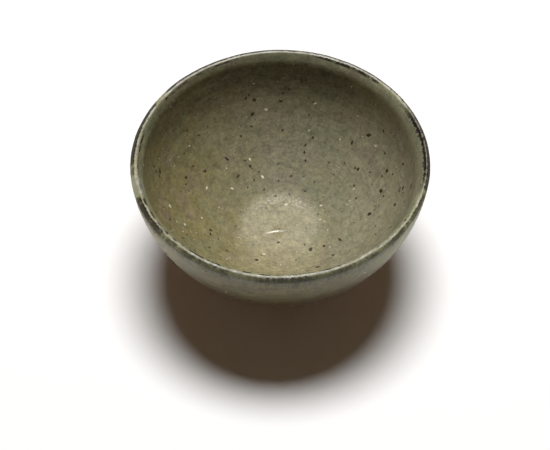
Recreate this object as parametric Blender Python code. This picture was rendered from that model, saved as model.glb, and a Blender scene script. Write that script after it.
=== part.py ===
"""Handleless stoneware teacup, built the way a potter builds it.

A thrown clay bowl stands on a turned foot ring that is luted under its flat base. Three coats lie on
the bowl: a liner glaze inside, a glaze outside that stops short of the foot, and an iron-bearing wash
over the lip. Every piece is turned about the cup's own axis. The origin is on that axis, on the table.
"""

import math

import bpy

# Whole cup, coats included
RIM_DIAMETER = 0.088
CUP_HEIGHT = 0.047

# Thrown bowl
BASE_DIAMETER = 0.0424
POOL_DIAMETER = 0.027
POOL_EASE = 0.0015
CLAY_LIP = 0.0008
CLAY_WALL = 0.0024
CLAY_FLOOR = 0.0040
LIP_FLARE_DEPTH = 0.0022
OUTSIDE_FULLNESS = 1.8
INSIDE_FULLNESS = 2.0

# Foot ring
FOOT_HEIGHT = 0.006
FOOT_WIDTH = 0.0042
FOOT_SETBACK = 0.0010
FOOT_TAPER = 0.0008
FOOT_EDGE_RADIUS = 0.0007

# Coats, and the bond line that keeps each piece off its neighbour
GLAZE_THICKNESS = 0.0005
BOND_GAP = 0.0003
LIP_WASH_DROP = 0.0013
GLAZE_STOP = 0.0030

# Facets
TURN_STEPS = 48
INSIDE_STEPS = 11
OUTSIDE_STEPS = 9
BARE_STEPS = 2
LIP_ARC_STEPS = 6
EDGE_ARC_STEPS = 3
RIM_CROWDING = 1.5
WELD_DISTANCE = 0.000001

# Worked out from the sizes above. Heights of the bowl and its coats are counted from the bowl's flat base.
COAT = GLAZE_THICKNESS + BOND_GAP
BOWL_SEAT = FOOT_HEIGHT + BOND_GAP
LIP_RADIUS = CLAY_LIP / 2 + COAT
RIM_PLANE = CUP_HEIGHT - BOWL_SEAT - LIP_RADIUS
RIM_RADIUS = RIM_DIAMETER / 2
BASE_RADIUS = BASE_DIAMETER / 2
INSIDE_RADIUS = RIM_RADIUS - CLAY_WALL - 2 * COAT
INSIDE_DEPTH = RIM_PLANE - CLAY_FLOOR - COAT
POOL_RADIUS = POOL_DIAMETER / 2
LIP_FLARE = CLAY_WALL - CLAY_LIP


def clear_scene():
    for obj in list(bpy.data.objects):
        bpy.data.objects.remove(obj)


def fired_finish(name, colour, roughness):
    """A ceramic surface: its colour (linear RGB), its roughness, and no metal."""
    material = bpy.data.materials.new(name)
    material.use_nodes = True
    shader = material.node_tree.nodes["Principled BSDF"]
    shader.inputs["Base Color"].default_value = (*colour, 1.0)
    shader.inputs["Roughness"].default_value = roughness
    shader.inputs["Metallic"].default_value = 0.0
    return material


class RoundedWall:
    """A wall that is upright at the rim plane and rounds in below it, along a Lamé curve.

    It is fixed by its radius at the rim plane, and by a second radius that it reaches at a given depth.
    """

    def __init__(self, radius, low_radius, low_depth, fullness):
        self.radius = radius
        self.power = 2 / fullness
        self.full_depth = low_depth / math.sin(self.turn_at_radius(low_radius)) ** self.power

    def turn_at_radius(self, radius):
        """Angle from the rim plane at which the wall has come in to a radius."""
        return math.acos((radius / self.radius) ** (1 / self.power))

    def turn_at_depth(self, depth):
        """Angle from the rim plane at which the wall has reached a depth."""
        return math.asin((depth / self.full_depth) ** (1 / self.power))

    def point(self, turn):
        """Radius and height of the wall at an angle from the rim plane."""
        depth = self.full_depth * math.sin(turn) ** self.power
        return self.radius * math.cos(turn) ** self.power, RIM_PLANE - depth


# The skin is the glazed surface in section, as points of radius and height. It runs from the middle of the
# floor up the inside, over the lip and down the outside, so the clay is always on its right-hand side.
INSIDE_WALL = RoundedWall(INSIDE_RADIUS, POOL_RADIUS, INSIDE_DEPTH, INSIDE_FULLNESS)
OUTSIDE_WALL = RoundedWall(RIM_RADIUS, BASE_RADIUS, RIM_PLANE, OUTSIDE_FULLNESS)


def inside_point(turn):
    """A point of the inside wall, which flares to the thin lip."""
    radius, height = INSIDE_WALL.point(turn)
    flare = LIP_FLARE * math.exp(-(((RIM_PLANE - height) / LIP_FLARE_DEPTH) ** 2))
    return radius + flare, height


def inside_stretch():
    """The level pool on the floor, then the wall up to the lip wash, with points closer near the rim."""
    floor = RIM_PLANE - INSIDE_DEPTH
    low = INSIDE_WALL.turn_at_radius(POOL_RADIUS + POOL_EASE)
    high = INSIDE_WALL.turn_at_depth(LIP_WASH_DROP + BOND_GAP)
    shares = [(step / INSIDE_STEPS) ** RIM_CROWDING for step in range(INSIDE_STEPS, -1, -1)]
    wall = [inside_point(high + (low - high) * share) for share in shares]
    return [(0.0, floor), (POOL_RADIUS - POOL_EASE, floor), *wall]


def lip_stretch():
    """From the lower edge of the lip wash inside, over the half-round lip, to its lower edge outside."""
    inner_end = inside_point(INSIDE_WALL.turn_at_depth(LIP_WASH_DROP))
    outer_end = OUTSIDE_WALL.point(OUTSIDE_WALL.turn_at_depth(LIP_WASH_DROP))
    centre = RIM_RADIUS - LIP_RADIUS
    angles = [math.pi * (1 - step / LIP_ARC_STEPS) for step in range(LIP_ARC_STEPS + 1)]
    arc = [(centre + LIP_RADIUS * math.cos(a), RIM_PLANE + LIP_RADIUS * math.sin(a)) for a in angles]
    return [inner_end, *arc, outer_end]


def outside_points(high_depth, low_depth, steps):
    """Points down the outside wall between two depths."""
    high = OUTSIDE_WALL.turn_at_depth(high_depth)
    low = OUTSIDE_WALL.turn_at_depth(low_depth)
    return [OUTSIDE_WALL.point(high + (low - high) * step / steps) for step in range(steps + 1)]


def square_offsets(points):
    """Unit vectors square to a section line at each of its points, to its right: into the clay."""
    offsets = []
    for index, point in enumerate(points):
        before = points[max(index - 1, 0)]
        after = points[min(index + 1, len(points) - 1)]
        along = (after[0] - before[0], after[1] - before[1])
        if point[0] == 0.0:
            along = (1.0, 0.0)
        length = math.hypot(*along)
        offsets.append((along[1] / length, -along[0] / length))
    return offsets


def inset(points, offsets, distance):
    """The same line moved into the clay by a distance."""
    return [(r + dr * distance, z + dz * distance) for (r, z), (dr, dz) in zip(points, offsets)]


class Skin:
    """The glazed surface, with the stretch of it that each coat covers."""

    def __init__(self):
        inside = inside_stretch()
        lip = lip_stretch()
        outside = outside_points(LIP_WASH_DROP + BOND_GAP, RIM_PLANE - GLAZE_STOP, OUTSIDE_STEPS)
        bare = outside_points(RIM_PLANE - GLAZE_STOP, RIM_PLANE, BARE_STEPS)[1:]
        self.points = inside + lip + outside + bare
        self.offsets = square_offsets(self.points)
        lip_start = len(inside)
        outside_start = lip_start + len(lip)
        self.inside = slice(0, lip_start)
        self.lip = slice(lip_start, outside_start)
        self.outside = slice(outside_start, outside_start + len(outside))

    def coat_outline(self, stretch):
        """Closed section of a coat: out along the glazed face and back along the bonded one."""
        face = self.points[stretch]
        return face + inset(face, self.offsets[stretch], GLAZE_THICKNESS)[::-1]

    def clay_outline(self):
        """Section of the bare bowl, from the middle of its floor round to the middle of its flat base."""
        wall = inset(self.points, self.offsets, COAT)
        edge = wall[-1][0]
        return [*wall, (edge, 0.0), (0.0, 0.0)]

    def base_edge(self):
        """Radius of the flat base, which the foot ring is set in from."""
        return self.clay_outline()[-2][0]


def foot_outline(base_edge):
    """Closed section of the foot ring: a tapered band with rounded edges where it stands on the table."""
    outer_top = base_edge - FOOT_SETBACK
    outer_table = outer_top - FOOT_TAPER
    inner = outer_top - FOOT_WIDTH
    angles = [math.pi / 2 * step / EDGE_ARC_STEPS for step in range(EDGE_ARC_STEPS + 1)]
    reach = FOOT_EDGE_RADIUS
    outer_edge = [(outer_table - reach + reach * math.cos(a), reach - reach * math.sin(a)) for a in angles]
    inner_edge = [(inner + reach - reach * math.sin(a), reach - reach * math.cos(a)) for a in angles]
    return [(outer_top, FOOT_HEIGHT), *outer_edge, *inner_edge, (inner, FOOT_HEIGHT)]


def turned(name, outline, finish, parent, height=0.0):
    """A piece turned from its section, at a height in its parent. Off the axis, the section is a loop."""
    mesh = bpy.data.meshes.new(name)
    corners = [(radius, 0.0, z) for radius, z in outline]
    edges = [(index, index + 1) for index in range(len(corners) - 1)]
    if outline[0][0] > 0.0:
        edges.append((len(corners) - 1, 0))
    mesh.from_pydata(corners, edges, [])
    mesh.materials.append(finish)
    piece = bpy.data.objects.new(name, mesh)
    bpy.context.scene.collection.objects.link(piece)
    piece.parent = parent
    piece.location.z = height
    turn = piece.modifiers.new("turn", "SCREW")
    turn.axis = "Z"
    turn.steps = TURN_STEPS
    turn.render_steps = TURN_STEPS
    turn.use_merge_vertices = True
    turn.merge_threshold = WELD_DISTANCE
    turn.use_smooth_shade = True
    return piece


def build():
    clear_scene()
    clay = fired_finish("fired_stoneware", (0.20, 0.145, 0.095), 0.85)
    liner = fired_finish("ash_glaze_inside", (0.165, 0.150, 0.105), 0.42)
    outer = fired_finish("ash_glaze_outside", (0.185, 0.180, 0.145), 0.40)
    iron = fired_finish("iron_wash", (0.030, 0.026, 0.022), 0.25)

    cup = bpy.data.objects.new("teacup", None)
    bpy.context.scene.collection.objects.link(cup)
    skin = Skin()
    turned("foot_ring", foot_outline(skin.base_edge()), clay, cup)
    bowl = turned("clay_bowl", skin.clay_outline(), clay, cup, BOWL_SEAT)
    turned("inside_glaze", skin.coat_outline(skin.inside), liner, bowl)
    turned("outside_glaze", skin.coat_outline(skin.outside), outer, bowl)
    turned("iron_lip", skin.coat_outline(skin.lip), iron, bowl)


build()
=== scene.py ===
"""Looks of a handleless stoneware teacup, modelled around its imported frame.

The glazed skin is one surface, worked out once as a grid of points: from the middle of the floor up the
inside, over the lip and down the outside. Each coat is a closed shell cut from that grid, so neighbours
share their border and their normals. Lengths are in metres, and in millimetres where a name ends in _mm.
Bearings and their widths are in degrees about the cup's axis, from +X towards +Y.
"""

import logging
import math
import random
from collections.abc import Callable
from dataclasses import dataclass
from enum import Enum
from functools import partial

import bpy
import numpy as np
from mathutils import Euler, Matrix, Vector, noise
from mathutils.bvhtree import BVHTree


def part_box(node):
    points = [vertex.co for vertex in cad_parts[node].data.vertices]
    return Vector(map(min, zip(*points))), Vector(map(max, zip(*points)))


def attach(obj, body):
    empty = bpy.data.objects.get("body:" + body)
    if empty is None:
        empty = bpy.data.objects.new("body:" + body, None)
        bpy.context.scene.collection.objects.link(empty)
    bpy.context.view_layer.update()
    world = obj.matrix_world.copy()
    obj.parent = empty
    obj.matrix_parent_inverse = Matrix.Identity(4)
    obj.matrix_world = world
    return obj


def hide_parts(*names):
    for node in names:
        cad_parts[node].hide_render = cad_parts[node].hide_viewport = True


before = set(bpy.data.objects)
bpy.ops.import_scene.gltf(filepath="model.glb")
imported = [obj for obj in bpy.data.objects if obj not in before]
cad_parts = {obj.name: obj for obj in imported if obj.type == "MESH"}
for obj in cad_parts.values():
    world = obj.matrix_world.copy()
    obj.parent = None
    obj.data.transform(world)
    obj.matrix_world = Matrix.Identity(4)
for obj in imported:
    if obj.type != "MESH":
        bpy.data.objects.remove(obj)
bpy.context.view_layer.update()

LOG = logging.getLogger("teacup")
MM = 0.001
BODY = "root"
PHOTO_SIZE = (550, 450)
FULL_TURN = 2 * math.pi
QUARTER_TURN = math.pi / 2
SAME_PLACE = 1e-9
CREST_MARK = "from_crest_mm"
CORE_MARK = "core"
WHITE = "#ffffff"

Span = tuple[float, float]
Place = tuple[float, float, float]
Waves = tuple[tuple[int, float, float], ...]
Input = bpy.types.Node | bpy.types.NodeSocket | float | tuple[float, ...]

# Node settings that come up again and again
EASED = {"interpolation_type": "SMOOTHSTEP"}
COLOUR = {"data_type": "RGBA"}
PLAIN = {"data_type": "FLOAT"}
PLUS = {"operation": "ADD"}
LESS = {"operation": "SUBTRACT"}
TIMES = {"operation": "MULTIPLY"}
TIMES_PLUS = {"operation": "MULTIPLY_ADD"}
MOST = {"operation": "MAXIMUM"}
UNSIGNED = {"operation": "ABSOLUTE"}
LENGTH = {"operation": "LENGTH"}
DISTANCE = {"operation": "DISTANCE"}
ALONG = {"operation": "DOT_PRODUCT"}
ONE_LONG = {"operation": "NORMALIZE"}
SCALED = {"operation": "SCALE"}

# Detail of a noise, from soft to ragged, with its middle value and the swing that holds most of it
SMOOTH, CLOUDY, GRITTY, RAGGED = 1.0, 2.0, 3.0, 4.0
NOISE_MIDDLE = 0.5
NOISE_SWING = (0.3, 0.7)
UNIT = (0.0, 1.0)
LEVEL = (1.0, 1.0, 0.0)

# Pixels of the photograph where the bolder dark specks and pale grains show
DARK_SPECKS_SEEN_AT = (
    (246, 98), (254.5, 100), (283, 93), (281, 101), (252.5, 114), (241, 136), (199, 135), (193, 166),
    (205, 171), (186, 177.5), (186, 184), (154, 166), (160, 172), (227, 159), (250, 166), (238, 176),
    (254, 180), (264, 189.5), (275.5, 196), (227, 250.5), (210.5, 234), (170, 219.5), (256.5, 260),
    (340, 239.5), (333, 255), (317.5, 267), (310.5, 249.5), (324, 246), (369.5, 214), (354, 185.5),
    (355, 168), (358, 169), (382, 176), (387, 170.5), (403, 164), (385, 153), (383.5, 131), (368.5, 135),
    (313, 137.5), (305.5, 145), (304.5, 152), (352, 142.5), (350, 94), (381, 191), (399.5, 190),
    (403, 188), (411, 186), (395, 204.5), (291, 176), (305, 191), (314.5, 182),
)
PALE_GRAINS_SEEN_AT = (
    (315, 103.5), (189.5, 146), (232, 188.5), (202, 218), (185, 224.5), (170, 206), (266, 110),
    (262.5, 177), (250, 159.5), (353.5, 189), (320, 219.5), (321, 205.5), (300, 202), (286, 204.5),
    (340, 139.5), (375.5, 146), (207, 188), (264, 254),
)


class Side(Enum):
    """Which stretch of the skin a coat lies on."""

    INSIDE = "inside"
    LIP = "lip"
    OUTSIDE = "outside"


def linear(code: str) -> tuple[float, float, float, float]:
    """Turn an sRGB hex colour into linear light.

    Args:
        code: Colour as "#rrggbb".

    Returns:
        Linear red, green and blue, and an alpha of 1.
    """
    shares = [int(code[start : start + 2], 16) / 255 for start in (1, 3, 5)]
    red, green, blue = [s / 12.92 if s <= 0.04045 else ((s + 0.055) / 1.055) ** 2.4 for s in shares]
    return red, green, blue, 1.0


def add_node(
    tree: bpy.types.NodeTree, kind: str, settings: dict | None = None, *inputs: Input, **named: Input
) -> bpy.types.Node:
    """Add one node, with its settings, its values and its links.

    Args:
        tree: Node tree to add to.
        kind: Node type without the ShaderNode prefix.
        settings: Node properties by name.
        *inputs: What its first inputs take, in order: a value, a socket, or a node for its first output.
        **named: What other inputs take, by their names with underscores for spaces.

    Returns:
        The node.
    """
    node = tree.nodes.new(f"ShaderNode{kind}")
    for name, value in (settings or {}).items():
        setattr(node, name, value)
    for name, value in (*enumerate(inputs), *named.items()):
        feed(tree, node, name, value)
    return node


def feed(tree: bpy.types.NodeTree, node: bpy.types.Node, name: str | int, value: Input) -> None:
    """Give a node's input what it takes.

    Args:
        tree: The node's tree.
        node: The node.
        name: The input's index, or its name with underscores for spaces.
        value: A value, a socket, or a node for its first output.
    """
    if isinstance(name, int):
        socket = node.inputs[name]
    else:
        socket = next(s for s in node.inputs if s.enabled and s.name == name.replace("_", " "))
    if isinstance(value, bpy.types.Node):
        value = next(s for s in value.outputs if s.enabled)
    if isinstance(value, bpy.types.NodeSocket):
        tree.links.new(value, socket)
    else:
        socket.default_value = value


def smooth_step(low: float, high: float, value: np.ndarray) -> np.ndarray:
    """Ease from 0 at low to 1 at high."""
    share = np.clip((value - low) / (high - low), 0.0, 1.0)
    return share * share * (3 - 2 * share)


def waves_round(angle: np.ndarray, waves: Waves) -> np.ndarray:
    """Sum of waves round the cup, each with its count, its start and its size."""
    return sum(size * np.sin(count * angle + start) for count, start, size in waves)


def turned(radius: np.ndarray, height: np.ndarray, angle: np.ndarray) -> np.ndarray:
    """Points at a radius, a height and an angle about the cup's axis."""
    return np.stack([radius * np.cos(angle), radius * np.sin(angle), height], axis=-1)


def is_pole(places: np.ndarray) -> bool:
    """Whether a row of points has shrunk to one place."""
    return np.ptp(places, axis=0).max() < SAME_PLACE


def square_to(points: np.ndarray) -> np.ndarray:
    """Find the normals of a grid that is closed around. A row on the axis takes its neighbour's mean.

    Args:
        points: Points by row and by angle.

    Returns:
        A unit normal for each point.
    """
    down = np.gradient(points, axis=0)
    across = np.roll(points, -1, axis=1) - np.roll(points, 1, axis=1)
    normals = np.cross(down, across)
    for row, inner in ((0, 1), (-1, -2)):
        if is_pole(points[row]):
            normals[row] = normals[inner].mean(axis=0)
    return normals / np.linalg.norm(normals, axis=-1, keepdims=True)


def quads_of(index: np.ndarray) -> np.ndarray:
    """List the four corners of each face of a grid that is closed around.

    Args:
        index: One value for each grid point.

    Returns:
        The values at the corners, by face.
    """
    near, far = index[:-1], index[1:]
    corners = [near, far, np.roll(far, -1, axis=1), np.roll(near, -1, axis=1)]
    return np.stack(corners, axis=-1).reshape(-1, 4)


@dataclass(frozen=True)
class RoundedWall:
    """A wall that is upright at the rim plane and rounds in below it along a Lamé curve."""

    radius: float
    low_radius: float
    low_depth: float
    fullness: float

    @property
    def full_depth(self) -> float:
        """Depth at which the curve would reach the axis."""
        share = self.low_radius / self.radius
        return self.low_depth / (1 - share**self.fullness) ** (1 / self.fullness)

    def depth_at(self, radius: np.ndarray) -> np.ndarray:
        """Depth under the rim plane at which the wall has a radius."""
        share = np.clip(radius / self.radius, 0.0, 1.0)
        return self.full_depth * (1 - share**self.fullness) ** (1 / self.fullness)


@dataclass(frozen=True)
class CupForm:
    """Sizes of the cup: those that the frame gives, then the thrown form's own."""

    rim_radius: float
    lip_top: float
    base_height: float
    floor_height: float
    foot_radius: float
    base_radius: float = 21.2 * MM
    pool_radius: float = 13.5 * MM
    pool_ease: float = 1.1 * MM
    lip_reach: float = 1.53 * MM
    lip_drop: float = 1.2 * MM
    lip_flat: float = 0.1 * MM
    lip_power: float = 1.7
    corner_reach: float = 0.65 * MM
    corner_drop: float = 0.42 * MM
    lip_bevel: float = math.radians(55)
    bevel_ease: float = 0.42 * MM
    wall: float = 3.7 * MM
    wash_drop: float = 1.3 * MM
    glaze_stop: float = 3.0 * MM
    glaze: float = 0.5 * MM
    outside_fullness: float = 1.8
    inside_fullness: float = 1.97
    foot_width: float = 4.2 * MM
    foot_taper: float = 0.8 * MM
    foot_edge: float = 0.7 * MM

    @classmethod
    def from_frame(cls) -> "CupForm":
        """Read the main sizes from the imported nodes.

        Returns:
            The cup's sizes.
        """
        lip_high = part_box("iron_lip")[1]
        return cls(
            rim_radius=lip_high.x,
            lip_top=lip_high.z,
            base_height=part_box("clay_bowl")[0].z,
            floor_height=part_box("inside_glaze")[0].z + cls.glaze,
            foot_radius=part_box("foot_ring")[1].x,
        )

    @property
    def rim_plane(self) -> float:
        """Height at which the outer face is upright, under the lip."""
        return self.lip_top - self.lip_drop

    @property
    def lip_line(self) -> float:
        """Radius of the middle of the lip's flat top."""
        return self.rim_radius - self.lip_reach

    @property
    def corner_end(self) -> float:
        """Angle round the lip's inner corner at which it is as steep as the bevel."""
        return math.atan(math.tan(self.lip_bevel) * self.corner_reach / self.corner_drop)

    @property
    def inside_wall(self) -> RoundedWall:
        """The glazed wall inside, down to the edge of the pool."""
        depth = self.rim_plane - self.floor_height
        return RoundedWall(self.rim_radius - self.wall, self.pool_radius, depth, self.inside_fullness)

    @property
    def outside_wall(self) -> RoundedWall:
        """The glazed wall outside, down to the flat base."""
        depth = self.rim_plane - self.base_height
        return RoundedWall(self.rim_radius, self.base_radius, depth, self.outside_fullness)


@dataclass
class Section:
    """The skin's section as a dense line, with the distance along it."""

    form: CupForm
    wall_steps: int = 900
    neck_steps: int = 45
    lip_steps: int = 112

    def __post_init__(self) -> None:
        """Join the inside, the lip and the outside, and measure the line."""
        line = np.vstack([self.inside_line(), self.lip_line(), self.outside_line()])
        steps = np.hypot(*np.diff(line, axis=0).T)
        self.line = line[np.append(True, steps > SAME_PLACE)]
        self.along = np.append(0.0, np.cumsum(np.hypot(*np.diff(self.line, axis=0).T)))

    def inside_line(self) -> np.ndarray:
        """Draw the level pool, eased into the wall, which leans out to the thin lip.

        Returns:
            Radius and height of each point.
        """
        form, wall = self.form, self.form.inside_wall
        turn = np.linspace(QUARTER_TURN, 0.0, self.wall_steps)
        radius = wall.radius * np.cos(turn) ** (2 / wall.fullness)
        radius[0] = 0.0
        height = form.rim_plane - wall.depth_at(radius)
        apart = np.abs(height - form.floor_height)
        ease = np.clip(1 - apart / form.pool_ease, 0.0, 1.0) ** 2 * form.pool_ease / 4
        return self.bevelled(radius, np.maximum(height, form.floor_height) + ease)

    def bevelled(self, radius: np.ndarray, height: np.ndarray) -> np.ndarray:
        """Carry the inside wall up to the lip, leaning out over the bevel that a finger wiped there.

        Args:
            radius: Radius of the wall, from the floor up to the rim plane.
            height: Height of the wall.

        Returns:
            Radius and height of each point, up to the lip's rounding.
        """
        form = self.form
        lean = math.tan(form.lip_bevel)
        top = form.lip_top - form.corner_drop * (1 - math.cos(form.corner_end))
        edge = form.lip_line - form.lip_flat / 2 - form.corner_reach * math.sin(form.corner_end)
        knee = top - (edge - radius[-1]) * lean
        neck = np.linspace(form.rim_plane, top, self.neck_steps)[1:]
        radius = np.append(radius, np.full_like(neck, radius[-1]))
        height = np.append(height, neck)
        out = np.logaddexp(0.0, (height - knee) / (lean * form.bevel_ease))
        out = out * (edge - radius[-1]) / out[-1]
        return np.column_stack([radius + out, height])

    def lip_line(self) -> np.ndarray:
        """Draw the lip, from the bevel round its inner corner, over its narrow flat top, to the outer face.

        Returns:
            Radius and height of each point.
        """
        form = self.form
        half = form.lip_flat / 2
        turn = np.linspace(form.corner_end, 0.0, self.lip_steps)
        inner = form.lip_line - half - form.corner_reach * np.sin(turn)
        inner_height = form.lip_top - form.corner_drop * (1 - np.cos(turn))
        turn = np.linspace(0.0, QUARTER_TURN, self.lip_steps)
        outer = form.lip_line + half + (form.lip_reach - half) * np.sin(turn) ** (2 / form.lip_power)
        outer_height = form.rim_plane + form.lip_drop * np.cos(turn) ** (2 / form.lip_power)
        return np.column_stack([np.append(inner, outer), np.append(inner_height, outer_height)])

    def outside_line(self) -> np.ndarray:
        """Draw the outer wall, from the rim plane to the flat base.

        Returns:
            Radius and height of each point.
        """
        wall = self.form.outside_wall
        end = np.arccos((wall.low_radius / wall.radius) ** (wall.fullness / 2))
        turn = np.linspace(0.0, end, self.wall_steps)
        radius = wall.radius * np.cos(turn) ** (2 / wall.fullness)
        return np.column_stack([radius, self.form.rim_plane - wall.depth_at(radius)])

    def at(self, along: np.ndarray) -> tuple[np.ndarray, np.ndarray]:
        """Radius and height at distances along the line."""
        return np.interp(along, self.along, self.line[:, 0]), np.interp(along, self.along, self.line[:, 1])

    def reach(self, height: float, inside: bool) -> float:
        """Find where one side of the wall has a height.

        Args:
            height: The height.
            inside: Whether it is the inner side.

        Returns:
            Distance along the line.
        """
        crest = int(np.argmax(self.line[:, 1]))
        if inside:
            return float(np.interp(height, self.line[:crest, 1], self.along[:crest]))
        return float(np.interp(-height, -self.line[crest:, 1], self.along[crest:]))


@dataclass(frozen=True)
class SkinMarks:
    """Distances along the section where its stretches begin and end."""

    pool: float
    lip_in: float
    crest: float
    lip_out: float
    hem: float
    base: float


@dataclass(frozen=True)
class Swell:
    """Smooth random swells of one height and width, with an offset that picks their pattern."""

    height: float
    size_mm: float
    offset: float

    def lift(self, points: np.ndarray) -> np.ndarray:
        """Measure the swells.

        Args:
            points: Positions, with the three coordinates last.

        Returns:
            Height at each point.
        """
        places = points.reshape(-1, 3) / (self.size_mm * MM) + self.offset
        values = np.array([noise.noise(place) for place in places.tolist()])
        return self.height * values.reshape(points.shape[:-1])


@dataclass(frozen=True)
class HandMark:
    """A low swell, or a hollow where its height is negative, that a hand left beside the lip."""

    bearing: float
    height: float
    inset: float
    width: float
    focus: int

    def lift(self, reach: np.ndarray, angle: np.ndarray) -> np.ndarray:
        """Height of the mark at distances from the crest and at angles about the axis."""
        toward = np.clip(np.cos(angle - math.radians(self.bearing)), 0.0, 1.0) ** self.focus
        return self.height * toward * np.exp(-(((reach + self.inset) / self.width) ** 2))


@dataclass(frozen=True)
class FingerMark:
    """The mark of a fingertip on the floor: a low step that eases back towards the near side."""

    centre: Span = (0.8 * MM, -13.9 * MM)
    radius: float = 13.2 * MM
    edge: float = 0.6 * MM
    depth: float = 0.10 * MM
    bearing: float = 103.0
    sweep: float = 18.0
    whole_share: float = 0.6

    def lift(self, points: np.ndarray) -> np.ndarray:
        """Measure the mark.

        Args:
            points: Positions, with the three coordinates last.

        Returns:
            Height at each point, which is negative.
        """
        across, ahead = points[..., 0] - self.centre[0], points[..., 1] - self.centre[1]
        away = np.hypot(across, ahead)
        inner = self.radius - self.edge
        step = 1 - smooth_step(inner, self.radius, away)
        aside = np.abs(np.arctan2(ahead, across) - math.radians(self.bearing))
        sweep = math.radians(self.sweep)
        ends = 1 - smooth_step(self.whole_share * sweep, sweep, aside)
        slope = smooth_step(self.whole_share * inner, inner, away)
        return -self.depth * step * ends * slope


@dataclass(frozen=True)
class GlazeRun:
    """The one thick run of glaze over the lip."""

    bearing: float = 197.0
    girth_radius: float = 42.8 * MM
    width: float = 3.0 * MM
    height: float = 0.40 * MM
    inset: float = 1.2 * MM
    length: float = 1.8 * MM

    def lift(self, reach: np.ndarray, angle: np.ndarray) -> np.ndarray:
        """Measure the run.

        Args:
            reach: Distance of each point from the crest.
            angle: Its angle about the axis.

        Returns:
            Height at each point.
        """
        aside = np.angle(np.exp(1j * (angle - math.radians(self.bearing)))) * self.girth_radius
        down = (reach + self.inset) / self.length
        return self.height * np.exp(-((aside / self.width) ** 2) - down**2)


@dataclass(frozen=True)
class Throwing:
    """What the potter's hands and the kiln left on the form, as small moves of the skin."""

    rim_wave: float = 0.10 * MM
    rim_waves: Waves = ((2, 0.7, 1.0), (3, 2.9, 0.6), (5, 1.1, 0.35))
    out_of_round: float = 0.10 * MM
    oval_waves: Waves = ((2, QUARTER_TURN - 0.9, 1.0), (3, QUARTER_TURN + 0.5, 0.4))
    ring_height: float = 0.022 * MM
    ring_pitch_in: float = 6.2 * MM
    ring_pitch_out: float = 4.4 * MM
    rings_past_pool: float = 8.0 * MM
    rings_below_lip: Span = (9.0 * MM, 2.0 * MM)
    rings_past_lip: Span = (3.0 * MM, 9.0 * MM)
    swells: tuple[Swell, ...] = (Swell(0.05 * MM, 7.0, 7.3), Swell(0.012 * MM, 1.9, 2.9))
    lip_swell: Swell = Swell(0.14 * MM, 5.0, 11.7)
    lip_swell_width: float = 1.6 * MM
    finger_mark: FingerMark = FingerMark()
    hand_marks: tuple[HandMark, ...] = (
        HandMark(126.0, -0.45 * MM, 4.5 * MM, 3.0 * MM, 8),
        HandMark(335.0, -0.34 * MM, 3.4 * MM, 2.0 * MM, 3),
        HandMark(215.0, 0.20 * MM, 0.65 * MM, 0.5 * MM, 8),
        HandMark(272.0, 0.20 * MM, 0.55 * MM, 0.5 * MM, 6),
    )
    run: GlazeRun = GlazeRun()
    leans: tuple[HandMark, ...] = (
        HandMark(10.0, 0.45 * MM, 0.0, 1.0 * MM, 2),
        HandMark(270.0, 0.22 * MM, 0.0, 1.0 * MM, 2),
    )
    hem_wave: float = 0.7 * MM
    hem_waves: Waves = ((3, 0.4, 0.6), (5, 2.1, 0.4), (8, 4.0, 0.25), (13, 1.2, 0.15))
    hem_roll: float = 0.18 * MM
    hem_roll_width: float = 1.2 * MM

    def lift(
        self, along: np.ndarray, points: np.ndarray, angle: np.ndarray, marks: SkinMarks
    ) -> np.ndarray:
        """Add up rings, swells, hand marks and thick glaze along the skin's normal.

        Args:
            along: Distance of each grid point along the section.
            points: The grid's points before the move.
            angle: Angle of each grid point about the axis.
            marks: Where the stretches of the skin begin and end.

        Returns:
            One height for each grid point.
        """
        low, high = (marks.lip_in - below for below in self.rings_below_lip)
        wall_in = smooth_step(marks.pool, marks.pool + self.rings_past_pool, along)
        wall_in = wall_in * (1 - smooth_step(low, high, along))
        low, high = (marks.lip_out + past for past in self.rings_past_lip)
        wall_out = smooth_step(low, high, along)
        rings = wall_in * np.sin(FULL_TURN * along / self.ring_pitch_in + angle)
        rings = rings + wall_out * np.sin(FULL_TURN * along / self.ring_pitch_out - angle)
        reach = along - marks.crest
        lip = np.exp(-((reach / self.lip_swell_width) ** 2))
        lifts = [swell.lift(points) for swell in self.swells]
        lifts += [mark.lift(reach, angle) for mark in (*self.hand_marks, self.run)]
        lifts += [lip * self.lip_swell.lift(points), self.finger_mark.lift(points) * (along < marks.pool)]
        return self.ring_height * rings + sum(lifts)

    def lean(self, along: np.ndarray, angle: np.ndarray, crest: float) -> np.ndarray:
        """How far the lip's crest leans out, on the sides where it was pinched thinner."""
        return sum(mark.lift(along - crest, angle) for mark in self.leans)


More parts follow.
